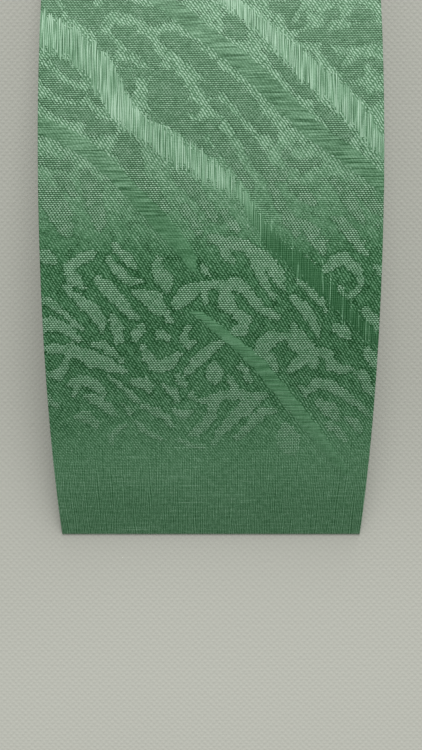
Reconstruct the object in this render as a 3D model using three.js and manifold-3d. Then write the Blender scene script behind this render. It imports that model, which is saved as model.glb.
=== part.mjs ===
// A fabric slat of a vertical blind: one strip of green jacquard cloth, cut square at both ends.
// It lies on its two cut ends, face up, in the shallow arch that it kept from its roll.
// Millimetres, +Z up, +Y along the slat. The origin is in the middle, on the surface below it.
import * as THREE from "three";
import { mergeVertices } from "three/addons/utils/BufferGeometryUtils.js";
import Module from "manifold-3d";

const wasm = await Module();
wasm.setup();

// Driving dimensions
const SLAT_WIDTH = 89;
const SLAT_LENGTH = 200;
const CLOTH_THICKNESS = 0.4;
const BEND_RADIUS = 203;
// How far the floats of each weave stand proud of the twill ground
const FIGURE_RISE = 0.1;
const WARP_FLOAT_RISE = 0.15;
const WEFT_FLOAT_RISE = 0.2;
// Fineness of the model: along a figure's outline, and along the bend on the face and the back
const OUTLINE_STEP = 3.6;
const FACE_STEP = 12.5;
const BACK_STEP = 6.25;
// How much more cloth is woven on every side than is left after cutting
const TRIM = 4;

// Past this height the drawn figures come round again, moved sideways, as on a woven repeat
const REPEAT_LIFT = 112;
const REPEAT_SHIFT = -31;
const REPEAT_FROM = 42;

const CLOTH_COLOUR = 0x6f9a78;

// Every figure is a stroke: a row of [across, up, half-width], in mm on the flat cloth,
// from the middle of the width and from the lower cut end.
// Long warp floats, in two streaks that run down from left to right
const warpStreaks = [
  [[-49, 145, 4.4], [-41, 141.3, 4.2], [-34, 137.2, 3.6], [-28, 130.8, 3.8], [-23, 121.4, 3.2],
    [-16, 115.3, 3], [-8, 110.3, 3.2], [0, 105, 2.8], [4, 102.4, 2], [8, 99.2, 1.4], [12, 92.8, 1.6],
    [16, 87.4, 2.2], [20, 84, 2.2], [23, 81.8, 2.3], [27, 78.4, 2.2], [32, 73.2, 2.2], [35, 70, 2.1],
    [38, 67.2, 1.8], [41, 64.4, 1.8], [46, 60.6, 1.6]],
  [[-52, 197.8, 3], [-30, 182.8, 3.2], [-10, 165.8, 3], [3, 153.2, 2.2], [9, 147.2, 2], [15, 142.2, 2.3],
    [20, 136.8, 2.8], [25, 131.8, 3], [31, 126.8, 3.4], [37, 120.2, 3], [42, 113.8, 2.4], [47, 108, 2]],
];

// Long weft floats, in three streaks beside them
const weftStreaks = [
  [[-49, 176.8, 3], [-32, 166.8, 3], [-18, 155.7, 2.6], [-9, 148, 2.4], [-2, 142, 2.4], [5, 136.4, 2.3],
    [12, 130, 2.5], [18, 123.9, 2.6], [24, 117.8, 2.6], [30, 113, 2.4], [37, 108, 2.3], [47, 99.6, 2]],
  [[-49, 117.8, 2.6], [-41, 116.2, 2.2], [-35, 112.8, 2], [-29, 108.8, 2.2], [-24, 104, 2], [-19, 99, 2],
    [-14, 93.5, 2.4], [-9, 88, 2.2], [-5.5, 83, 1.6], [-4.5, 80, 0.8]],
  [[-4.8, 69.6, 0.5], [-1, 67.2, 1.2], [2.5, 64.2, 1.3], [6.5, 61, 1.3], [10.5, 57.5, 1.6],
    [14.6, 53.1, 1.8], [18.4, 48.3, 1.8], [22.2, 43.7, 1.8], [25.9, 39.1, 1.8], [29.4, 34.2, 1.7],
    [32.8, 29.6, 1.5], [36, 25, 1.2], [38.6, 21.6, 0.7]],
];

// Weft-faced figures of the upper half: broad blots, and bars that follow the streaks
const upperFigures = [
  [[-43.5, 150.8, 2.6], [-40, 147.3, 1.6]],
  [[-36, 151, 3], [-32.4, 147, 3], [-30.4, 144.2, 1.8]],
  [[-28.8, 140.6, 1.2], [-27, 138.4, 2.1], [-25.2, 136.6, 1.2]],
  [[-25, 149.8, 1.4], [-19.5, 148.6, 1.7], [-15.5, 146.3, 2.3], [-12, 147.3, 2.6], [-9, 150.2, 1.8]],
  [[-24.8, 142.8, 1.1], [-21.5, 141.2, 2.3], [-18, 138.3, 2.4], [-15.3, 134.8, 1.6], [-14, 132.2, 1.2]],
  [[-12.3, 140.6, 1.6], [-8.5, 139.2, 2.6], [-4.5, 135.6, 2.3], [-0.5, 131.6, 2.4], [3.5, 128.2, 2.3],
    [8, 124.2, 2.3], [10.8, 120, 1.9], [13.4, 117, 2.2], [16, 115, 1.1]],
  [[-13.2, 131.3, 1.9], [-12, 128.1, 4.4], [-11, 124, 5.2], [-9.5, 119.8, 3.5], [-6.5, 116.8, 2.2],
    [-2, 116.3, 1.6], [1.5, 118, 1.1]],
  [[-25.2, 131.3, 1], [-22.6, 130.2, 2.2], [-21.4, 126.9, 2], [-21, 124.5, 1.1]],
  [[-24, 133.2, 0.6], [-20.4, 133.1, 0.8]],
  [[-19.9, 130.7, 0.6], [-17.8, 131.1, 1.1], [-16, 130.3, 0.6]],
  [[-40.3, 134.8, 1], [-37.3, 132.6, 1.6], [-34, 129.4, 1]],
  [[-44, 131.6, 1.3], [-41, 128.9, 1.6], [-38.4, 126.3, 1.4], [-33.4, 125, 1.2]],
  [[-31, 126.2, 0.8], [-29.5, 124.3, 1.3], [-28.4, 122.5, 0.8]],
  [[-43, 123.5, 1.1], [-39.5, 121, 1.4], [-35, 120.5, 2], [-31.5, 119.8, 1.9], [-29.8, 118, 0.8]],
  [[-31.4, 116, 1.2], [-28.4, 117, 2.2], [-25.6, 116.2, 1.7]],
  [[-21.8, 114.6, 1.4], [-21.8, 111.8, 3.4], [-20.6, 108.6, 2.9], [-18.2, 106.8, 1.2]],
  [[-17, 120, 0.7], [-15, 118.5, 1.1], [-13.2, 116.5, 0.7]],
  [[-5.2, 123, 1], [-3.8, 120.8, 1.2]],
  [[-2.9, 127.8, 0.7], [-0.8, 127.2, 1.7], [0.8, 125.2, 1.2]],
  [[0.6, 122.7, 1], [3, 121.5, 1.4], [5.2, 119, 1.1], [7.3, 116.2, 1.3], [10.4, 112, 1.8],
    [12.4, 108.4, 1.9], [14, 105.4, 1.7], [18.6, 104, 1.3]],
  [[0.8, 115.7, 1.4], [3, 112.2, 1.9], [5.2, 108.8, 1.4], [7.6, 105.4, 1.3], [10.4, 101.4, 1]],
  [[4.6, 146.3, 1.1], [6, 143.7, 3.4], [7.7, 140.9, 1.9]],
  [[15.2, 136.2, 0.7], [17.3, 133.7, 1.3], [19.9, 130.7, 1.5], [22.8, 127.7, 1.9], [25.6, 124.8, 1.4]],
  [[27, 122.6, 0.8], [29.6, 119.8, 1.5], [32.6, 116.6, 2.3], [34.6, 113.8, 1.5]],
  [[16, 149.6, 1.4], [19, 148.6, 1.8], [22.3, 149.8, 1.7]],
  [[20.3, 146.8, 1], [19.9, 144.3, 1], [21.8, 142.6, 0.8], [23.9, 144.9, 1], [24, 147.8, 0.7]],
  [[21.8, 139.7, 0.6], [25, 140.9, 1.7], [28.4, 141.2, 2.2], [32, 140.2, 1.8], [36, 140.6, 2.5],
    [39.8, 141.9, 3], [45.5, 141.1, 2.4]],
  [[37, 146.1, 1.2], [38.8, 147.4, 2.5], [41.6, 146.3, 1.4]],
  [[30.2, 145.3, 0.7], [31.7, 146.7, 1.4], [33.1, 148.2, 0.8]],
  [[29.4, 138.2, 0.8], [30.8, 135.8, 1.3], [32.8, 133.1, 1.2], [33.9, 131.2, 0.6]],
  [[24.4, 136.3, 0.6], [25.7, 134.7, 1.2], [27.6, 132.9, 0.7]],
  [[34.1, 129.1, 0.8], [36, 130.2, 1.8], [38, 132.4, 1.9], [39.2, 134.8, 0.7]],
  [[41.2, 134.8, 0.7], [42.6, 133.2, 1.6], [45.5, 132.3, 1.1]],
  [[36, 127.4, 0.7], [38.2, 126.2, 1], [40, 124.2, 1.1], [42, 123.2, 1.2], [43.6, 125.3, 1]],
  [[-43.4, 101, 1.4], [-41, 98.4, 3.2], [-38.8, 94, 2.8], [-37, 89.6, 1.6]],
  [[-39.4, 104, 1], [-36.7, 101.8, 1.4], [-35.4, 99.4, 0.8]],
  [[-32.2, 105.2, 1.2], [-31, 102, 2.2], [-29.6, 97, 2], [-28.6, 91.4, 1.4]],
  [[-22, 105, 1], [-17.6, 103, 1.8], [-13.6, 98.6, 1.5], [-11.4, 95.4, 1]],
  [[-9, 103.8, 1], [-6.4, 102.6, 1.7], [-3.4, 99.8, 1.3], [-0.6, 96.4, 1.2], [1, 93.4, 1]],
  [[-7.4, 96.4, 0.8], [-4.6, 93.4, 1.2], [-2.8, 90, 1.1]],
  [[18.8, 111, 0.8], [20.4, 107.8, 1.2], [24.2, 106.8, 1.4], [27.6, 108.4, 0.9]],
  [[20.6, 102, 1.1], [23.2, 100.2, 1.7], [26.2, 97.6, 1.4]],
  [[15, 102, 0.7], [16.8, 99, 1.2], [18.6, 95.6, 1.3], [22.2, 89.6, 1]],
  [[22.6, 92.9, 1], [25.2, 91, 1.8], [27.4, 88.2, 1.9], [29.4, 84.3, 0.8]],
  [[31.4, 103.6, 0.8], [33.2, 101, 1.1], [37, 96, 1.4], [39, 93, 0.8]],
  [[36.2, 102.4, 0.7], [39.8, 99.2, 1.3], [45, 94.5, 1.3]],
  [[31.4, 94, 0.7], [34.2, 91.7, 1.3], [37.4, 88.2, 1.4], [40.2, 84, 0.7]],
  [[3.2, 95, 0.8], [5.4, 92.2, 1], [7, 90, 0.7]],
  [[-6.6, 114.8, 0.7], [-3, 112.8, 1.2], [1, 109.6, 0.8]],
  [[-44.4, 108.6, 0.8], [-40.6, 107.4, 1.3], [-36, 106.4, 0.8]],
  [[26.2, 116.2, 0.6], [29.4, 112.5, 1], [33, 109.2, 0.7]],
];

// Weft-faced figures of the lower half: leaves, commas, hooks and small islands
const lowerFigures = [
  [[-45.5, 84.2, 1.6], [-42.4, 83.8, 1.9], [-40.4, 82, 0.8]],
  [[-33.3, 76, 0.8], [-35.6, 78, 1.7], [-38, 79.2, 1.6], [-36.4, 81.4, 1.5], [-33.6, 83.2, 1.5],
    [-30.4, 84.6, 1.2]],
  [[-30.2, 78.2, 0.8], [-28, 76.6, 1.8], [-25.4, 74.2, 1.8], [-22.6, 70.6, 1.6], [-19.4, 67.8, 0.8]],
  [[-27, 83.6, 0.8], [-24.6, 80.2, 1.2], [-21.6, 77.9, 1.2], [-18, 77.4, 0.9]],
  [[-24.8, 86.6, 1.3], [-22.4, 83.8, 1.4], [-19.8, 81, 0.9]],
  [[-14, 83.4, 0.9], [-13.9, 80.6, 1.5], [-12.4, 77.8, 2.4], [-10.9, 75.6, 1.2]],
  [[-20.4, 74.6, 0.7], [-17, 73.6, 2], [-14.4, 71.6, 2.6], [-12.6, 69.2, 1.5], [-10.4, 66.8, 0.7]],
  [[-9.2, 71.4, 1.5], [-7.4, 73, 2.6], [-5, 75, 2], [-2, 76.5, 1.2], [2, 76.2, 1.2], [5.6, 77, 1.5],
    [9, 75.6, 1.4], [11, 72.6, 1.5], [14, 69.8, 1.2], [18, 68, 0.9]],
  [[3.1, 75.4, 1.4], [3.9, 72.2, 2.2], [5, 69.8, 1.4], [7.8, 69, 1.4], [9.6, 66.4, 2.2],
    [7.6, 64.4, 1.8], [5.2, 63.4, 0.8]],
  [[-2.3, 74, 0.5], [-1.3, 71.8, 0.8]],
  [[-45, 72.8, 0.9], [-41.8, 71.8, 1.1], [-38, 68.4, 0.9], [-33.4, 64.4, 0.5]],
  [[-38.6, 76.6, 0.5], [-35, 73, 1.1], [-32, 70.8, 1.9], [-29.6, 68.6, 1.8], [-28.6, 63.8, 0.5]],
  [[-26, 68.8, 0.7], [-24.8, 66, 1.8], [-24.7, 63, 2.2], [-24.4, 61.5, 1.1]],
  [[-20.5, 61.4, 0.8], [-19.7, 63.3, 1.5], [-18.4, 65.3, 1.4]],
  [[-14.6, 64.2, 0.8], [-12.8, 63.3, 1.5], [-11.2, 61.8, 0.8]],
  [[-5.5, 65.8, 0.5], [-7.2, 63.2, 1.2], [-7.1, 60.7, 1.2], [-5.4, 59.9, 1.1], [-3.9, 61.9, 0.8]],
  [[-45.5, 65.4, 2], [-42, 66.4, 2], [-38.6, 64.8, 1.4], [-34.4, 62.2, 0.7]],
  [[-43.6, 59.6, 1.4], [-40.6, 59.7, 1.3], [-36.6, 58.8, 1.7], [-32.6, 57.1, 2.3], [-28.6, 55.6, 1.9],
    [-22.8, 53, 0.8]],
  [[-38.6, 57.2, 0.9], [-39.2, 54.3, 1.2], [-41.4, 51.9, 1.8], [-43.8, 52.8, 0.9]],
  [[-31.6, 60.8, 0.7], [-29.4, 61, 1.2], [-26.6, 58.9, 1.1], [-23.7, 56.1, 0.5]],
  [[-18.5, 60.6, 0.8], [-17, 57.4, 1.5], [-15, 54.8, 1.9], [-12.5, 54.4, 1.9], [-10.3, 56.3, 1.7],
    [-8.4, 58.6, 0.9]],
  [[-6.3, 53.2, 1.1], [-3.8, 56.2, 1.6], [-0.6, 59, 1.6], [3, 61.1, 0.8]],
  [[0.6, 54.6, 1.7], [1.2, 52.4, 2.5], [1.2, 51, 1.9]],
  [[-9.1, 52.3, 0.7], [-7.8, 50.9, 1.1], [-6.7, 49.1, 0.7]],
  [[-38.7, 49.7, 0.8], [-35.6, 50.9, 1.4], [-32.4, 50.7, 1.5], [-30.2, 48.7, 1.6], [-28.6, 46.7, 0.8]],
  [[-35.9, 49.5, 0.8], [-37.3, 46.4, 0.7]],
  [[-27.6, 51.8, 0.5], [-25, 49.9, 0.9], [-22, 47, 0.7], [-19.4, 44.5, 0.7]],
  [[-21.6, 50.5, 0.8], [-19.4, 50.7, 1.9], [-17.2, 49.3, 1.8], [-15.5, 47.6, 0.7]],
  [[-12.6, 49.2, 0.8], [-10.2, 48.4, 1.5], [-9.4, 44.8, 0.9]],
  [[-34.2, 46.4, 0.7], [-31, 45.1, 1.5], [-28, 42.8, 1.6], [-26.2, 40.8, 0.9]],
  [[-24, 44.3, 0.5], [-21.8, 41.2, 0.8]],
  [[-19, 43.6, 0.7], [-15.4, 42.1, 1.2], [-12.6, 40.2, 1.2], [-11, 37.2, 0.7]],
  [[-37, 40.2, 0.9], [-35.2, 41.6, 1.5], [-33, 39.1, 1.8], [-31.4, 37.4, 0.8]],
  [[-10.3, 42.4, 0.7], [-8.8, 41.6, 1.4], [-6.6, 40.2, 1.4], [-4.8, 42.2, 0.8]],
  [[-5.9, 46.8, 0.7], [-5.1, 45.2, 1.2], [-2.8, 45, 0.7], [1, 45.7, 1.3], [4.8, 46.8, 1.5],
    [8.4, 46.8, 1.7], [12, 45.7, 1.6], [15.4, 46.7, 0.6]],
  [[1.2, 44.6, 1.3], [0.4, 41.6, 1.4], [-0.8, 38.8, 1.3], [-3.4, 36.4, 1.7], [-5.6, 34.8, 1]],
  [[12.6, 45, 1.4], [9, 42.7, 2.2], [6.2, 39.8, 1.7], [3.7, 37, 1.3], [1.6, 34.4, 1.1], [0.8, 31.6, 0.7]],
  [[17.8, 41.9, 0.8], [16, 42.8, 1.2], [13.4, 41.2, 1.4], [11.6, 38.6, 1.4], [9.4, 36.2, 1.2],
    [6.8, 33.8, 0.9]],
  [[7.6, 55, 0.8], [8.9, 52.9, 1.3], [11, 50.2, 0.6]],
  [[12, 58.6, 1.1], [14.2, 60.8, 2.4], [16.4, 62.8, 2], [18.8, 62.9, 1.1]],
  [[12.8, 58.9, 1.4], [15.4, 56.8, 2.2], [17.6, 53.4, 0.7]],
  [[21.5, 66.1, 0.7], [23.2, 63, 1.6], [24.8, 59.9, 2.6], [26.4, 56.8, 2.6], [28.4, 54.1, 0.8]],
  [[19.2, 63.6, 0.7], [21.4, 61.5, 1.4], [24, 59.1, 1.4]],
  [[25.4, 57.4, 1.6], [22.6, 54.8, 1.6], [21, 53.3, 0.8]],
  [[28.6, 59.5, 0.7], [31.2, 58.2, 1.4], [32.3, 55.1, 1.9], [33.8, 53.1, 1.2], [36.2, 54.6, 1.1],
    [37.9, 54.2, 0.5]],
  [[20.8, 73.4, 0.8], [23.2, 71.8, 1.6], [26, 68.8, 1.5], [27.4, 66, 1.2], [28.8, 62.4, 0.5]],
  [[21.8, 78.4, 0.5], [25.6, 75.4, 0.9], [28.6, 72.2, 1.1], [30.2, 70, 0.5]],
  [[33.2, 65.8, 1.1], [34.8, 64.2, 1.8], [36.4, 62.6, 0.9]],
  [[33.2, 76, 0.7], [36.2, 73.3, 0.9], [39, 75.6, 0.8], [38.8, 78.9, 0.9], [36.6, 82, 1.5],
    [33, 83.2, 1.9], [30.4, 81.6, 1.5], [29.6, 79.8, 0.8]],
  [[40.6, 70.4, 1], [41.2, 67.8, 2], [45.2, 64.2, 1.6]],
  [[40.8, 60, 0.7], [42.8, 57, 1.5], [45.2, 54.7, 1.1]],
  [[38.4, 53.4, 0.6], [40.8, 52.3, 1.4], [42.4, 49.2, 1.5], [44.2, 46.8, 0.9]],
  [[23.3, 49.9, 0.5], [25.2, 47.2, 1.2], [27.2, 49.5, 1.5], [30.4, 50.1, 1.6], [35, 47.4, 1.4],
    [39.6, 44.3, 1.1], [44, 40.4, 0.7]],
  [[28.6, 44.8, 0.9], [31, 43.6, 2], [33.6, 41.8, 1.9], [34.8, 39.6, 0.9]],
  [[36.9, 40.5, 0.5], [39, 38.9, 1.2], [41.2, 35.8, 0.7]],
  [[31.8, 38.3, 0.7], [34.4, 37, 1.2], [37.6, 32.8, 0.7]],
  [[20.2, 38.2, 0.9], [20.6, 36, 2.4], [21.4, 33, 3.4], [22.6, 30, 2.2]],
  [[-0.6, 88.6, 1.1], [3, 87.6, 1.4], [7.6, 87, 1.4], [11.8, 84.2, 1.9], [16.4, 80.4, 1.8],
    [18.8, 75.8, 1]],
  [[2.4, 86.6, 0.9], [4.4, 84.4, 1.4], [5.6, 82, 0.8]],
  [[10.8, 83.2, 0.9], [13.2, 78.4, 1.1], [16.6, 73, 0.7]],
  [[20.4, 86.4, 0.5], [23.6, 84, 0.9], [27, 81.6, 0.5]],
  [[42.4, 81.4, 0.7], [45, 79.4, 1.1]],
  [[-2.4, 81.6, 0.7], [-1.4, 79.6, 1.2]],
  [[4.8, 51.8, 0.7], [6.6, 49.4, 1], [7.8, 47.6, 0.9]],
  [[-45.5, 46.6, 0.9], [-43.6, 45, 1], [-42, 43, 0.6]],
  [[-28.2, 31.6, 0.6], [-26.8, 35.8, 0.9], [-23.4, 37.9, 0.7]],
  [[-21.6, 39.3, 0.6], [-17.6, 35.6, 0.9], [-13.2, 33.2, 0.6]],
  [[-9, 33.4, 0.7], [-6.6, 31.8, 0.9], [-2, 31, 0.6]],
];

// The outline of a stroke: it runs up one side of the smooth spine and down the other, and
// comes to a blunt point at each end.
function strokeShape(stroke) {
  const spine = new THREE.CatmullRomCurve3(stroke.map((point) => new THREE.Vector3(...point)));
  const steps = Math.max(2, Math.round(spine.getLength() / OUTLINE_STEP));
  const stations = spine.getSpacedPoints(steps);
  const right = [];
  const left = [];
  const ways = stations.map((at, i) => {
    const before = stations[Math.max(i - 1, 0)];
    const after = stations[Math.min(i + 1, steps)];
    const along = new THREE.Vector2(after.x - before.x, after.y - before.y).setLength(at.z);
    right.push(new THREE.Vector2(at.x + along.y, at.y - along.x));
    left.push(new THREE.Vector2(at.x - along.y, at.y + along.x));
    return along;
  });
  const start = new THREE.Vector2(stations[0].x, stations[0].y).sub(ways[0]);
  const end = new THREE.Vector2(stations[steps].x, stations[steps].y).add(ways[steps]);
  return new THREE.Shape([start, ...right, end, ...left.reverse()]);
}

// A closed solid, ready to be joined or cut: an outline raised from one height to another
function prism(shape, low, high) {
  const geometry = new THREE.ExtrudeGeometry(shape, { depth: high - low, bevelEnabled: false });
  geometry.translate(0, 0, low);
  geometry.deleteAttribute("normal");
  geometry.deleteAttribute("uv");
  const merged = mergeVertices(geometry);
  const mesh = new wasm.Mesh({
    numProp: 3,
    vertProperties: merged.attributes.position.array,
    triVerts: new Uint32Array(merged.index.array),
  });
  return new wasm.Manifold(mesh);
}

// A rectangle of cloth, as wide and as long as the slat and a margin all round
function clothShape(margin) {
  const side = SLAT_WIDTH / 2 + margin;
  const top = SLAT_LENGTH + margin;
  const corners = [[-side, -margin], [side, -margin], [side, top], [-side, top]];
  return new THREE.Shape(corners.map((corner) => new THREE.Vector2(...corner)));
}

// All the floats of one weave, rooted halfway down the cloth
function floats(strokes, rise) {
  return strokes
    .map((stroke) => prism(strokeShape(stroke), CLOTH_THICKNESS / 2, CLOTH_THICKNESS + rise))
    .reduce((all, one) => all.add(one));
}

// The figures again, one repeat further up, wrapped round the width of the slat
function repeatUp(strokes) {
  const moved = (stroke, shift) => stroke.map(([u, v, r]) => [u + shift, v + REPEAT_LIFT, r]);
  return strokes
    .filter((stroke) => stroke[0][1] > REPEAT_FROM)
    .flatMap((stroke) => [moved(stroke, REPEAT_SHIFT), moved(stroke, REPEAT_SHIFT + SLAT_WIDTH)])
    .filter((stroke) => stroke.some(([u]) => Math.abs(u) < SLAT_WIDTH / 2));
}

// The flat cloth with its floats, woven oversize and then cut to the slat's width and length
function flatSlat() {
  const figures = [...upperFigures, ...lowerFigures, ...repeatUp(lowerFigures)];
  const woven = prism(clothShape(TRIM), 0, CLOTH_THICKNESS)
    .add(floats(figures, FIGURE_RISE))
    .add(floats(warpStreaks, WARP_FLOAT_RISE))
    .add(floats(weftStreaks, WEFT_FLOAT_RISE));
  const cut = woven.intersect(prism(clothShape(0), -TRIM, CLOTH_THICKNESS + TRIM));
  // A join can leave a sliver of no volume beside the cloth
  return cut.decompose().sort((a, b) => b.volume() - a.volume())[0];
}

// The three corners of each triangle of a solid
function trianglesOf(solid) {
  const { numProp, vertProperties, triVerts } = solid.getMesh();
  const corner = (index) => new THREE.Vector3().fromArray(vertProperties, index * numProp);
  const triangles = [];
  for (let i = 0; i < triVerts.length; i += 3)
    triangles.push([corner(triVerts[i]), corner(triVerts[i + 1]), corner(triVerts[i + 2])]);
  return triangles;
}

// How many steps of the bend an edge runs along the slat
function bendSteps(from, to) {
  const step = from.z === 0 && to.z === 0 ? BACK_STEP : FACE_STEP;
  return Math.abs(from.y - to.y) / step;
}

// Halves each edge that is longer than one step of the bend. Both triangles on an edge halve it
// alike, so the skin stays closed.
function refine(triangle) {
  const spans = triangle.map((point, i) => bendSteps(point, triangle[(i + 1) % 3]));
  const longest = spans.indexOf(Math.max(...spans));
  if (spans[longest] <= 1) return [triangle];
  const [a, b, c] = [0, 1, 2].map((i) => triangle[(longest + i) % 3]);
  const middle = a.clone().lerp(b, 0.5);
  return [...refine([a, middle, c]), ...refine([middle, b, c])];
}

// The flat cloth rolled round an axis below it, with its two ends on the surface
function bent(point) {
  const angle = (point.y - SLAT_LENGTH / 2) / BEND_RADIUS;
  const radius = BEND_RADIUS + point.z;
  const endHeight = BEND_RADIUS * Math.cos(SLAT_LENGTH / 2 / BEND_RADIUS);
  return new THREE.Vector3(point.x, radius * Math.sin(angle), radius * Math.cos(angle) - endHeight);
}

function slat() {
  const triangles = trianglesOf(flatSlat()).flatMap(refine);
  const geometry = new THREE.BufferGeometry().setFromPoints(triangles.flat().map(bent));
  const finish = { color: CLOTH_COLOUR, roughness: 0.6, metalness: 0, flatShading: true };
  const mesh = new THREE.Mesh(mergeVertices(geometry), new THREE.MeshStandardMaterial(finish));
  mesh.name = "slat";
  return mesh;
}

const blindSlat = new THREE.Group();
blindSlat.add(slat());

export default blindSlat;
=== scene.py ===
"""The looks of a woven vertical blind slat that lies face up, bowed, on a pale floor."""

import math

import bpy
import numpy as np
from mathutils import Matrix, Vector
from mathutils.bvhtree import BVHTree


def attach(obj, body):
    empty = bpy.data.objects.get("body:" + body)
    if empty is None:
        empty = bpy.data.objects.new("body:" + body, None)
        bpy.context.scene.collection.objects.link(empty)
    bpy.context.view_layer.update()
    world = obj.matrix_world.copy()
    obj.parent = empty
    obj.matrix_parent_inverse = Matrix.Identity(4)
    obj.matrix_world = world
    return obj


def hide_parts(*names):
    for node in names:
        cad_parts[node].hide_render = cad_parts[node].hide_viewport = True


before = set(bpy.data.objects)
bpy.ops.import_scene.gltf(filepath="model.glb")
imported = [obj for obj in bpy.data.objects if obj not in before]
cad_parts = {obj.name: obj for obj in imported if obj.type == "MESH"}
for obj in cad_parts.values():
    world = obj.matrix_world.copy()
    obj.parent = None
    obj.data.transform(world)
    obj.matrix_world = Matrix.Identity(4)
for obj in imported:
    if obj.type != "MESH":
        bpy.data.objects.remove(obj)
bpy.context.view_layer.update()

# Sizes of the cloth, in millimetres, as in the solid that it stands for
WIDTH = 89.0
LENGTH = 200.0
THICKNESS = 0.4
BEND_RADIUS = 203.0
FIGURE_RISE = 0.1
WARP_RISE = 0.15
WEFT_RISE = 0.2
# How much of its rise a float keeps once its threads have settled into the cloth
SETTLED = 0.6
MM = 0.001

# Grids of the samples, the face and the back, in millimetres
SAMPLE_STEP = 0.25
FACE_STEP = 0.5
BACK_STEP = 1.0
# How high over the flat cloth the sampling rays start, and how far they stay from its edge
SAMPLE_HEIGHT = 2.0
SAMPLE_MARGIN = 0.05
# How far the rim is drawn in to round it, and how uneven the cut is, in millimetres
EDGE_ROUND = 0.06
EDGE_WOBBLE = 0.05
RIM_ACROSS = 1 - EDGE_ROUND / (WIDTH / 2)
RIM_ALONG = 1 - EDGE_ROUND / (LENGTH / 2)

# Camera, in millimetres and degrees, fitted to how the strip's width and the pitch of its rows
# change from its lower end to the top of the picture
CAMERA_Y = -35.2
CAMERA_Z = 212.05
CAMERA_TILT = 3.6
FOCAL_LENGTH = 34.55
SENSOR = 36.0
CLIP_START = 10.0

# Floor and lamp, in metres, watts and degrees. The lamp stands off beyond the upper end.
FLOOR_REACH = 0.9
LAMP_SIZE = 1.7
LAMP_POWER = 98.0
LAMP_DISTANCE = 3.0
LAMP_ELEVATION = 31
LAMP_ASIDE = 4
# Strength of the room's light, and of the wall that only camera, glossy and transmitted rays see
ROOM_LIGHT = 0.44
WALL_LIGHT = 0.9

# How far the axis that the strip is bent round lies below the floor
DROP = BEND_RADIUS * math.cos(LENGTH / 2 / BEND_RADIUS)


def add_object(name, data):
    """A new object of the scene that shows the data."""
    made = bpy.data.objects.new(name, data)
    bpy.context.scene.collection.objects.link(made)
    return made


def flat_of(points):
    """Points in metres on the bowed strip, unrolled: across, along and height, in millimetres."""
    x, y, z = (np.asarray(points, float) / MM).T
    angle = np.arctan2(y, z + DROP)
    return np.stack([x, angle * BEND_RADIUS + LENGTH / 2, np.hypot(y, z + DROP) - BEND_RADIUS], 1)


def bent(across, along, height):
    """The reverse of flat_of, for arrays of the three numbers."""
    angle = (along - LENGTH / 2) / BEND_RADIUS
    radius = BEND_RADIUS + height
    return np.stack([across, radius * np.sin(angle), radius * np.cos(angle) - DROP], -1) * MM


def face_heights(across, along):
    """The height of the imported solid's face over each crossing of the two lists of places."""
    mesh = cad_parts["slat"].data
    points = flat_of([v.co for v in mesh.vertices])
    corners = [tuple(polygon.vertices) for polygon in mesh.polygons]
    tree = BVHTree.FromPolygons([Vector(p) for p in points], corners)
    down = Vector((0, 0, -1))
    inner_across = np.clip(across, -WIDTH / 2 + SAMPLE_MARGIN, WIDTH / 2 - SAMPLE_MARGIN)
    inner_along = np.clip(along, SAMPLE_MARGIN, LENGTH - SAMPLE_MARGIN)
    heights = np.full((len(along), len(across)), THICKNESS)
    for row, v in enumerate(inner_along):
        for column, u in enumerate(inner_across):
            hit = tree.ray_cast(Vector((u, v, SAMPLE_HEIGHT)), down)[0]
            if hit is not None:
                heights[row, column] = hit.z
    return heights


def blurred(field, along, across):
    """The field smoothed by a bell curve of that many millimetres each way."""
    for axis, spread in ((0, along), (1, across)):
        reach = max(1, math.ceil(3 * spread / SAMPLE_STEP))
        offsets = np.arange(-reach, reach + 1)
        weights = np.exp(-0.5 * (offsets * SAMPLE_STEP / spread) ** 2)
        weights /= weights.sum()
        pad = [(reach, reach) if a == axis else (0, 0) for a in (0, 1)]
        wide = np.pad(field, pad, mode="edge")
        count = field.shape[axis]
        field = sum(w * wide.take(range(k, k + count), axis) for k, w in enumerate(weights))
    return field


def ring_of(rows, columns):
    """The rows and columns of the grid's outer crossings, against the clock from above."""
    low = [(0, c) for c in range(columns)]
    right = [(r, columns - 1) for r in range(1, rows)]
    top = [(rows - 1, c) for c in range(columns - 2, -1, -1)]
    left = [(r, 0) for r in range(rows - 2, 0, -1)]
    return tuple(np.array(low + right + top + left).T)


def woven_fields(across, along):
    """The height of the settled floats over the grid, and softly where each kind of float lies."""
    heights = face_heights(across, along)
    weft = (heights > THICKNESS + (WARP_RISE + WEFT_RISE) / 2).astype(float)
    warp = (heights > THICKNESS + (FIGURE_RISE + WARP_RISE) / 2) * (1 - weft)
    figure = (heights > THICKNESS + FIGURE_RISE / 2) * (1 - weft) * (1 - warp)
    relief = SETTLED * (
        FIGURE_RISE * blurred(figure, 0.3, 0.3)
        + WARP_RISE * blurred(warp, 0.5, 0.5)
        + WEFT_RISE * blurred(weft, 0.5, 0.5)
    )
    fields = {
        "figure": blurred(figure, 0.4, 0.4),
        "warp_near": blurred(warp, 4.0, 1.2),
        "warp_float": blurred(warp, 1.1, 0.3),
        "weft_float": blurred(weft, 0.4, 0.8),
    }
    return relief, fields


def grid_faces(rows, columns, first, face_up):
    """The squares of a grid of points, numbered from first, that all face up or all face down."""
    faces = []
    for r in range(rows - 1):
        start = first + r * columns
        for c in range(start, start + columns - 1):
            square = (c, c + 1, c + columns + 1, c + columns)
            faces.append(square if face_up else square[:1] + square[:0:-1])
    return faces


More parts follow.
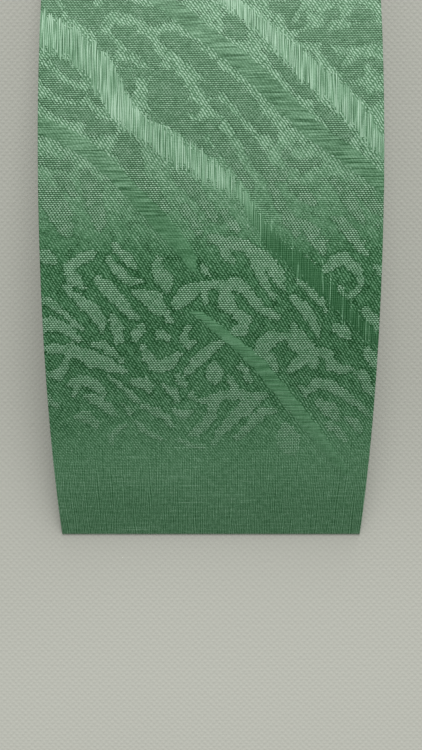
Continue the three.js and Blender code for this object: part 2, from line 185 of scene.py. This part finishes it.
def rim_faces(top, middle, bottom):
    """The rim between three closed rows of point numbers, of which the bottom one is coarser."""
    faces = []
    count = len(top)
    for k in range(count):
        after = (k + 1) % count
        faces.append((middle[k], middle[after], top[after], top[k]))
    share = count // len(bottom)
    half = share // 2
    for k, here in enumerate(bottom):
        there = bottom[(k + 1) % len(bottom)]
        mids = [middle[(k * share + i) % count] for i in range(share + 1)]
        for i in range(share):
            faces.append((here if i < half else there, mids[i + 1], mids[i]))
        faces.append((here, there, mids[half]))
    return faces


def drawn_in(along, share):
    """Places along the strip, drawn in toward its middle."""
    return (along - LENGTH / 2) * share + LENGTH / 2


def face_grid(u, v, relief, rim):
    """The face's points, with the rim drawn in and down to round it."""
    at_rim = np.zeros(u.shape, bool)
    at_rim[rim] = True
    height = THICKNESS + relief
    return (
        np.where(at_rim, u * RIM_ACROSS, u),
        np.where(at_rim, drawn_in(v, RIM_ALONG), v),
        np.where(at_rim, height - EDGE_ROUND, height),
    )


def cut_edge(u, v):
    """The points of the cut edge, halfway down the cloth and slightly uneven."""
    chance = np.random.default_rng(7)
    wobble = 1 - chance.random(len(u)) * EDGE_WOBBLE / (WIDTH / 2)
    wobble_along = 1 - chance.random(len(u)) * EDGE_WOBBLE / LENGTH
    return u * wobble, drawn_in(v, wobble_along), np.full(len(u), THICKNESS / 2)


def back_grid():
    """The plain back's points, with the rim drawn in and up to round it."""
    across = np.linspace(-WIDTH / 2, WIDTH / 2, round(WIDTH / BACK_STEP) + 1) * RIM_ACROSS
    along = np.linspace(-LENGTH / 2, LENGTH / 2, round(LENGTH / BACK_STEP) + 1) * RIM_ALONG
    u, v = np.meshgrid(across, along + LENGTH / 2)
    height = np.zeros(u.shape)
    height[ring_of(*u.shape)] = EDGE_ROUND / 2
    return u, v, height


def store(mesh, name, kind, key, values):
    """Keeps one value or vector for each point of the mesh, which the material reads by name."""
    layer = mesh.attributes.new(name, kind, "POINT")
    layer.data.foreach_set(key, values.astype(np.float32).ravel())


def make_cloth():
    """The strip as one closed mesh: a fine face with raised figures, a plain back and a rounded edge."""
    across = np.linspace(-WIDTH / 2, WIDTH / 2, round(WIDTH / SAMPLE_STEP) + 1)
    along = np.linspace(0, LENGTH, round(LENGTH / SAMPLE_STEP) + 1)
    relief, fields = woven_fields(across, along)
    skip = round(FACE_STEP / SAMPLE_STEP)
    u, v = np.meshgrid(across[::skip], along[::skip])
    rows, columns = u.shape
    rim = ring_of(rows, columns)
    rim_size = rim[0].size
    back = back_grid()
    back_rows, back_columns = back[0].shape
    back_rim = ring_of(back_rows, back_columns)

    parts = (face_grid(u, v, relief[::skip, ::skip], rim), cut_edge(u[rim], v[rim]), back)
    flat = np.concatenate([np.stack(part, -1).reshape(-1, 3) for part in parts])
    back_start = u.size + rim_size
    faces = grid_faces(rows, columns, 0, True)
    faces += grid_faces(back_rows, back_columns, back_start, False)
    faces += rim_faces(
        (rim[0] * columns + rim[1]).tolist(),
        range(u.size, back_start),
        (back_start + back_rim[0] * back_columns + back_rim[1]).tolist(),
    )
    mesh = bpy.data.meshes.new("woven_strip")
    mesh.from_pydata(bent(*flat.T).tolist(), [], faces)
    mesh.update()
    mesh.shade_smooth()

    # Each point's place on the flat cloth, with 1 on the face, a half on the cut and 0 on the back
    no_floats = np.zeros(back[0].size)
    side = np.concatenate([np.ones(u.size), np.full(rim_size, 0.5), no_floats])
    store(mesh, "flat", "FLOAT_VECTOR", "vector", np.stack([flat[:, 0], flat[:, 1], side], 1))
    for name, field in fields.items():
        values = field[::skip, ::skip]
        store(mesh, name, "FLOAT", "value", np.concatenate([values.ravel(), values[rim], no_floats]))
    return add_object("woven_strip", mesh)


class Graph:
    """Short calls that add nodes to an emptied tree and join them."""

    def __init__(self, tree):
        tree.nodes.clear()
        self.tree = tree

    def show(self, kind, shader):
        """Ends the tree: an output node of that kind, which shows the shader."""
        self.tree.links.new(shader.outputs[0], self.node(kind).inputs[0])

    def node(self, kind, inputs=(), **settings):
        made = self.tree.nodes.new(kind)
        for name, value in settings.items():
            setattr(made, name, value)
        for key, value in dict(inputs).items():
            self.put(made.inputs[key], value)
        return made

    def put(self, socket, value):
        if isinstance(value, bpy.types.NodeSocket):
            self.tree.links.new(value, socket)
        else:
            socket.default_value = value

    def math(self, operation, *values, clamp=False):
        made = self.node("ShaderNodeMath", operation=operation, use_clamp=clamp)
        for socket, value in zip(made.inputs, values):
            self.put(socket, value)
        return made.outputs[0]

    def add(self, a, b):
        return self.math("ADD", a, b)

    def sub(self, a, b):
        return self.math("SUBTRACT", a, b)

    def mul(self, a, b):
        return self.math("MULTIPLY", a, b)

    def times(self, first, *rest):
        for value in rest:
            first = self.mul(first, value)
        return first

    def between(self, value, low, high, to_low=0.0, to_high=1.0):
        """A smooth step: to_low at low, to_high at high."""
        made = self.node("ShaderNodeMapRange", interpolation_type="SMOOTHSTEP")
        for key, item in enumerate((value, low, high, to_low, to_high)):
            self.put(made.inputs[key], item)
        return made.outputs[0]

    def blend(self, share, a, b):
        """a where share is 0 and b where it is 1, both numbers."""
        made = self.node("ShaderNodeMix", data_type="FLOAT")
        for key, item in zip((0, 2, 3), (share, a, b)):
            self.put(made.inputs[key], item)
        return made.outputs[0]

    def vector(self, x, y, z=0.0):
        return self.node("ShaderNodeCombineXYZ", {0: x, 1: y, 2: z}).outputs[0]

    def noise(self, x, y, z=0.0, detail=0.0):
        """Soft noise about 0 and mostly within a half each way, of cells one unit wide."""
        made = self.node(
            "ShaderNodeTexNoise", {"Vector": self.vector(x, y, z), "Scale": 1.0, "Detail": detail}
        )
        return self.mul(self.sub(made.outputs[0], 0.5), 2.0)

    def flecks(self, place, across, along, layer=0.0, detail=0.0):
        """Soft noise over a pair of places, in cells to a millimetre each way. Layers differ."""
        x, y = place
        return self.noise(self.mul(x, across), self.mul(y, along), layer, detail)

    def chance(self, index):
        """One random number from 0 to 1 for each whole index."""
        made = self.node("ShaderNodeTexWhiteNoise", {"W": index}, noise_dimensions="1D")
        return made.outputs[0]

    def chance_of(self, first, second):
        """One random number from 0 to 1 for each pair of whole numbers."""
        vector = self.vector(first, second)
        made = self.node("ShaderNodeTexWhiteNoise", {"Vector": vector}, noise_dimensions="2D")
        return made.outputs[0]

    def wave(self, turns):
        """From 0 to 1 and back once a turn, 0 at whole turns."""
        cosine = self.math("COSINE", self.mul(turns, 2 * math.pi))
        return self.math("MULTIPLY_ADD", cosine, -0.5, 0.5)


# Pitches of the weave, in millimetres
ROW = 0.5
DASH = 0.82
TICK = 0.83
TICK_LENGTH = 1.0
FLOAT_THREAD = 0.3
FLOAT_PITCH = 0.5
# How far each row or stripe is moved on from the last, as a share of a dash or a tick
ROW_SHIFT = 0.405
TICK_SHIFT = 0.38
# How far a stripe of ticks leans across for each millimetre along
TICK_LEAN = 0.66

# Where the look changes along the slat, in millimetres from its lower end
END_FADES = (8.0, 34.0)
END_DEEPENS = (8.0, 46.0)
WEAVE_CLEARS = (18.0, 46.0)
FIGURES_SHOW = (24.0, 64.0)
WEFT_THINS = (70.0, 82.0)
MIDDLE_STARTS = (80.0, 92.0)
MIDDLE_ENDS = (98.0, 118.0)
# Where a painted sheen lights the warp floats, which stay dark below it
WARP_SHEEN_LIGHTENS = (87.0, 103.0)
# Where the painted sheen passes from the figures below to the ground above
SHEEN_TRADES = (78.0, 116.0)

# The middle of a weave's pattern, taken off so that a stronger pattern doesn't lighten the cloth
PATTERN_CENTRE = 0.42
# The level of a share at which one weave gives way to another, and how softly it does
SHARE_EDGE = (0.42, 0.58)
FIGURE_EDGE = (0.42, 0.55)

# Colours of the green cloth from the painted shade in the gap between two threads to the painted sheen
# on the crown of a bright one, evenly spaced
CLOTH_TONES = (
    (0.003, 0.038, 0.007, 1),
    (0.031, 0.112, 0.044, 1),
    (0.096, 0.232, 0.118, 1),
    (0.205, 0.398, 0.238, 1),
    (0.410, 0.622, 0.445, 1),
)


class ClothGraph(Graph):
    """The nodes of the woven cloth. Each step leaves what the steps after it use."""

    def __init__(self, tree):
        super().__init__(tree)
        place = self.node("ShaderNodeAttribute", attribute_name="flat")
        parts = self.node("ShaderNodeSeparateXYZ", {0: place.outputs["Vector"]})
        u, v, self.face = parts.outputs
        self.cloth = (u, v)
        # Threads wander a little
        u = self.add(u, self.mul(self.flecks(self.cloth, 0.25, 0.12), 0.20))
        v = self.add(v, self.mul(self.flecks(self.cloth, 0.10, 0.3, 5.0), 0.16))
        self.thread = (u, v)

    def field(self, name):
        return self.node("ShaderNodeAttribute", attribute_name=name).outputs["Fac"]

    def weave_rows(self):
        """Rows of weft dashes, each row moved on from the last."""
        u, v = self.thread
        rows = self.mul(v, 1 / ROW)
        self.row = self.math("FLOOR", rows)
        self.row_wave = self.wave(rows)
        turns = self.add(self.mul(u, 1 / DASH), self.mul(self.row, ROW_SHIFT))
        dash_wave = self.wave(turns)
        crest = self.between(self.row_wave, 0.0, 0.5)
        self.dash_chance = self.sub(self.chance_of(self.row, self.math("FLOOR", turns)), 0.5)
        self.dashes = self.mul(crest, self.between(dash_wave, 0.0, 0.28))
        self.rows_run_on = self.mul(crest, self.between(dash_wave, 0.0, 0.35, 0.5))

    def weave_twill(self):
        """Steep warp ticks of the twill, crossed by the rows below and ribbed by them above."""
        u, v = self.thread
        stray = self.mul(self.flecks(self.cloth, 0.6, 0.45, 7.0, 2.0), 0.6)
        stripes = self.add(self.mul(self.add(u, self.mul(v, TICK_LEAN)), 1 / TICK), stray)
        stripe = self.math("FLOOR", stripes)
        turns = self.add(self.mul(v, 1 / TICK_LENGTH), self.mul(stripe, TICK_SHIFT))
        self.tick_chance = self.sub(self.chance_of(stripe, self.math("FLOOR", turns)), 0.5)
        tick_break = self.add(self.mul(self.tick_chance, 0.6), 0.25)
        tick_gap = self.between(self.wave(turns), 0.0, 0.35, tick_break)
        self.ticks = self.mul(self.between(self.wave(stripes), 0.15, 0.8), tick_gap)
        self.crossed = self.mul(self.ticks, self.between(self.row_wave, 0.0, 0.4, 0.3))
        self.ribbed = self.add(self.mul(self.ticks, 0.7), self.mul(self.row_wave, 0.3))

    def weave_floats(self):
        """Long floats, irregular from thread to thread."""
        u = self.thread[0]
        slip = self.mul(self.flecks(self.thread, 0.8, 0.05, 19.0), 0.8)
        thread_wave = self.wave(self.add(self.mul(u, 1 / FLOAT_PITCH), slip))
        self.lattice = self.add(self.mul(self.row_wave, 0.5), self.mul(thread_wave, 0.5))
        warp_lines = self.between(self.flecks(self.thread, 4.2, 0.12, 3.0, 1.0), -0.4, 0.35)
        self.warp_rough = self.add(self.mul(thread_wave, 0.45), self.mul(warp_lines, 0.55))
        self.weft_rough = self.between(self.flecks(self.thread, 0.10, 2.6, 9.0, 1.0), -0.45, 0.35)

    def find_zones(self):
        """How the look changes up the slat: the two faces trade a painted sheen where it turns away,
        which lights the figures below and the ground above.
        """
        edge = self.mul(self.flecks(self.cloth, 0.05, 0.05, 21.0), 3.5)
        self.up = self.add(self.cloth[1], edge)
        # The share of the cloth under the upper painted sheen, which lights the ground rather than the
        # figures
        self.upper_sheen = self.between(self.up, *SHEEN_TRADES)
        self.shown = self.between(self.up, *FIGURES_SHOW)
        self.clear = self.between(self.up, *WEAVE_CLEARS)
        self.faded = self.between(self.up, *END_FADES, 0.432, 0.515)
        past_lower = self.between(self.up, *MIDDLE_STARTS)
        self.between_faces = self.mul(past_lower, self.between(self.up, *MIDDLE_ENDS, 1.0, 0.0))
        uneven = self.mul(self.flecks(self.cloth, 0.4, 0.4, 53.0, 1.0), 0.35)
        depth = self.between(self.up, *END_DEEPENS, 1.35, 1.0)
        depth = self.add(depth, self.mul(self.between_faces, 0.25))
        self.depth = self.mul(depth, self.add(1.0, uneven))

    def find_shares(self):
        """Which face of the weave shows where, with combed and frayed edges."""
        u = self.thread[0]
        column_chance = self.chance(self.math("FLOOR", self.mul(u, 1 / FLOAT_THREAD)))
        comb = self.mul(self.sub(column_chance, 0.5), 0.85)
        self.warp_share = self.between(self.add(self.field("warp_float"), comb), *SHARE_EDGE)
        row_comb = self.mul(self.sub(self.chance(self.add(self.row, 0.37)), 0.5), 0.35)
        weft_share = self.between(self.add(self.field("weft_float"), row_comb), *SHARE_EDGE)
        self.weft_share = self.mul(weft_share, self.between(self.up, *WEFT_THINS, 1.0, 0.65))
        frayed = self.mul(self.flecks(self.thread, 1.6, 2.0, 13.0), 0.15)
        frayed = self.add(frayed, self.mul(self.dash_chance, 0.34))
        drawn = self.mul(self.flecks(self.cloth, 0.45, 0.45, 15.0), 0.5)
        figure_field = self.add(self.add(self.field("figure"), frayed), drawn)
        self.figure_share = self.between(figure_field, *FIGURE_EDGE)
        # The edge of each figure, where painted shade makes dark dotted pits
        self.rim = self.between(self.math("ABSOLUTE", self.sub(figure_field, 0.38)), 0.3, 0.1)

    def tone(self, lower_mean, upper_mean, swing, pattern, centre=PATTERN_CENTRE):
        """A weave's tone: its mean in the lower and the upper cloth, which differ by a painted sheen,
        and its pattern about that.
        """
        mean = self.blend(self.upper_sheen, lower_mean, upper_mean)
        mean = self.sub(mean, self.mul(self.between_faces, 0.05))
        mean = self.blend(self.shown, self.faded, mean)
        plain = self.sub(self.lattice, PATTERN_CENTRE)
        pattern = self.blend(self.clear, plain, self.sub(pattern, centre))
        return self.add(mean, self.times(pattern, swing, self.depth))

    def ground_tone(self):
        twill = self.blend(self.upper_sheen, self.crossed, self.ribbed)
        pattern = self.blend(self.mul(self.between_faces, 0.6), twill, self.rows_run_on)
        # The ground: darker below and lit by a painted sheen above
        tone = self.tone(0.392, 0.592, self.blend(self.upper_sheen, 0.5, 0.68), pattern)
        return self.add(tone, self.times(self.tick_chance, self.clear, 0.12))

    def figure_tone(self):
        pattern = self.blend(self.upper_sheen, self.dashes, self.rows_run_on)
        centre = self.blend(self.upper_sheen, 0.56, 0.46)
        # The figures: lit by a painted sheen below and darker above
        tone = self.tone(0.495, 0.315, self.blend(self.upper_sheen, 0.84, 0.76), pattern, centre)
        return self.add(tone, self.times(self.dash_chance, self.clear, 0.16))

    def warp_float_tone(self):
        """Dark below and lit by a painted sheen above, and even where the figures fade out."""
        threads = self.add(self.mul(self.lattice, 0.36), self.mul(self.warp_rough, 0.14))
        dark = self.add(0.04, threads)
        glow = self.mul(self.flecks(self.cloth, 0.05, 0.07, 61.0), 0.12)
        threads = self.mul(self.sub(self.warp_rough, 0.5), 0.85)
        light = self.add(self.add(0.665, glow), threads)
        # The warp floats: dark below, and lit above by a painted sheen
        tone = self.blend(self.between(self.up, *WARP_SHEEN_LIGHTENS), dark, light)
        return self.blend(self.shown, 0.46, tone)

    def weft_float_tone(self):
        # The weft floats: lit by a painted sheen below and darker above
        return self.tone(0.475, 0.34, self.blend(self.upper_sheen, 0.24, 0.6), self.weft_rough)

    def woven_level(self):
        """The tone of the face, from 0 to 1, before its loose threads and grain."""
        level = self.blend(self.figure_share, self.ground_tone(), self.figure_tone())
        # Painted shade in dotted pits along the figures' edges
        level = self.sub(level, self.times(self.rim, self.shown, self.sub(1.0, self.dashes), 0.3))
        level = self.blend(self.warp_share, level, self.warp_float_tone())
        return self.blend(self.weft_share, level, self.weft_float_tone())

    def worn_level(self, level):
        """The face's tone with its single loose threads, slack rows, fibres and patches."""
        single = self.between(self.flecks(self.thread, 2.3, 0.07, 17.0), 0.26, 0.42)
        near = self.field("warp_near")
        level = self.add(level, self.times(single, near, self.blend(self.upper_sheen, 0.7, 0.1)))
        slack = self.between(self.flecks(self.thread, 0.07, 1.9, 27.0), 0.42, 0.58)
        level = self.add(level, self.mul(slack, self.blend(self.shown, 0.14, 0.03)))
        fibres = self.flecks(self.thread, 2.2, 0.5, 31.0, 2.0)
        level = self.add(level, self.mul(fibres, self.blend(self.shown, 0.22, 0.06)))
        ribs = self.flecks(self.thread, 0.4, 2.0, 33.0, 1.0)
        level = self.add(level, self.mul(ribs, self.blend(self.shown, 0.14, 0.05)))
        grain = self.flecks(self.thread, 3.6, 3.6, 51.0, 1.0)
        level = self.add(level, self.mul(grain, 0.19))
        patches = self.flecks(self.cloth, 0.04, 0.04, 41.0, 1.0)
        return self.add(level, self.mul(patches, 0.05))

    def colour(self):
        """The colour of the face, and a plain weave of the same green on the back."""
        back = self.add(0.46, self.mul(self.sub(self.dashes, 0.5), 0.4))
        level = self.blend(self.face, back, self.worn_level(self.woven_level()))
        ramp = self.node("ShaderNodeValToRGB", {"Fac": level})
        stops = ramp.color_ramp.elements
        stops[0].position, stops[0].color = 0.0, CLOTH_TONES[0]
        stops[1].position, stops[1].color = 1.0, CLOTH_TONES[-1]
        for k, tone in enumerate(CLOTH_TONES[1:-1], 1):
            stops.new(k / (len(CLOTH_TONES) - 1)).color = tone
        # Paler in the upper cloth, a painted whitish sheen there, and richer green below
        saturation = self.blend(self.upper_sheen, 1.06, 0.93)
        inputs = {"Saturation": saturation, "Color": ramp.outputs[0]}
        return self.node("ShaderNodeHueSaturation", inputs).outputs[0]

    def by_weave(self, ground, figures, warp_floats, weft_floats):
        """One value for each weave, shared out as the weaves are."""
        value = self.blend(self.figure_share, ground, figures)
        value = self.blend(self.warp_share, value, warp_floats)
        return self.blend(self.weft_share, value, weft_floats)


def cloth_material():
    material = bpy.data.materials.new("woven_polyester")
    material.use_nodes = True
    g = ClothGraph(material.node_tree)
    g.weave_rows()
    g.weave_twill()
    g.weave_floats()
    g.find_zones()
    g.find_shares()
    relief = g.by_weave(g.ticks, g.dashes, g.warp_rough, g.weft_rough)
    bump = g.node("ShaderNodeBump", {"Strength": 0.4, "Distance": 0.0001, "Height": relief})
    surface = g.node(
        "ShaderNodeBsdfPrincipled",
        {
            "Base Color": g.colour(),
            "Roughness": g.by_weave(0.56, 0.62, 0.47, 0.52),
            "Normal": bump.outputs[0],
            "Specular IOR Level": 0.11,
        },
    )
    g.show("ShaderNodeOutputMaterial", surface)
    return material


# Dots of the floor, in turns for each millimetre along its two diagonals
DOT_TURNS = 0.55
# Where a painted pool of light lightens the floor toward the front, in millimetres
FRONT_LIGHT_POOL = (-40.0, -150.0)


def floor_material():
    material = bpy.data.materials.new("embossed_floor")
    material.use_nodes = True
    g = Graph(material.node_tree)
    place = g.node("ShaderNodeTexCoord").outputs["Object"]
    parts = g.node("ShaderNodeSeparateXYZ", {0: place})
    x, y = (g.mul(parts.outputs[k], 1 / MM) for k in (0, 1))
    near = g.between(y, *FRONT_LIGHT_POOL)
    diagonals = (g.add(x, y), g.sub(x, y))
    dots = g.times(*(g.wave(g.mul(along, DOT_TURNS)) for along in diagonals))
    grain = g.flecks((x, y), 0.9, 0.9, 2.0, 2.0)
    height = g.add(dots, g.mul(grain, 0.7))
    bump = g.node("ShaderNodeBump", {"Strength": 0.22, "Distance": 0.0002, "Height": height})
    patches = g.flecks((x, y), 0.012, 0.012, 4.0, 1.0)
    shade = g.node("ShaderNodeMix", data_type="RGBA")
    # The floor's colour: lighter toward the front in a painted pool of light, darker behind it, and
    # patchy at random
    g.put(shade.inputs["Factor"], g.math("MULTIPLY_ADD", patches, 0.25, near, clamp=True))
    g.put(shade.inputs["A"], (0.452, 0.456, 0.401, 1))
    g.put(shade.inputs["B"], (0.540, 0.547, 0.482, 1))
    surface = g.node(
        "ShaderNodeBsdfPrincipled",
        {"Base Color": shade.outputs["Result"], "Roughness": 0.75, "Normal": bump.outputs[0]},
    )
    g.show("ShaderNodeOutputMaterial", surface)
    return material


def make_floor():
    mesh = bpy.data.meshes.new("floor")
    signs = ((-1, -1), (1, -1), (1, 1), (-1, 1))
    corners = [(x * FLOOR_REACH, y * FLOOR_REACH, 0) for x, y in signs]
    mesh.from_pydata(corners, [], [(0, 1, 2, 3)])
    mesh.materials.append(floor_material())
    add_object("floor", mesh)


def make_camera():
    data = bpy.data.cameras.new("camera")
    data.lens = FOCAL_LENGTH
    data.sensor_width = SENSOR
    data.clip_start = CLIP_START * MM
    camera = add_object("camera", data)
    turn = Matrix.Rotation(math.radians(-CAMERA_TILT), 4, "X")
    camera.matrix_world = Matrix.Translation((0, CAMERA_Y * MM, CAMERA_Z * MM)) @ turn
    bpy.context.scene.camera = camera


def make_key_lamp():
    data = bpy.data.lights.new("soft_key", "AREA")
    data.shape = "DISK"
    data.size = LAMP_SIZE
    data.energy = LAMP_POWER
    key = add_object("soft_key", data)
    elevation = math.radians(LAMP_ELEVATION)
    aside = math.radians(LAMP_ASIDE)
    reach = LAMP_DISTANCE * math.cos(elevation)
    height = LAMP_DISTANCE * math.sin(elevation)
    key.location = (reach * math.sin(aside), reach * math.cos(aside), height)
    key.rotation_mode = "QUATERNION"
    key.rotation_quaternion = (-key.location).to_track_quat("-Z", "Y")


def make_room():
    """Even light from all sides, and a pale wall for what looks past the floor."""
    world = bpy.data.worlds.new("pale_room")
    bpy.context.scene.world = world
    world.use_nodes = True
    g = Graph(world.node_tree)
    path = g.node("ShaderNodeLightPath")
    seen = g.math("MAXIMUM", path.outputs["Is Camera Ray"], path.outputs["Is Glossy Ray"])
    seen = g.math("MAXIMUM", seen, path.outputs["Is Transmission Ray"])
    light = g.node("ShaderNodeBackground", {"Color": (0.98, 0.99, 1.0, 1), "Strength": ROOM_LIGHT})
    wall = g.node("ShaderNodeBackground", {"Color": (0.80, 0.79, 0.76, 1), "Strength": WALL_LIGHT})
    both = g.node("ShaderNodeMixShader", {0: seen, 1: light.outputs[0], 2: wall.outputs[0]})
    g.show("ShaderNodeOutputWorld", both)


bpy.context.scene.view_settings.view_transform = "Standard"
make_camera()
make_key_lamp()
make_room()
make_floor()

cloth = make_cloth()
cloth.data.materials.append(cloth_material())
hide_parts("slat")
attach(cloth, "root")
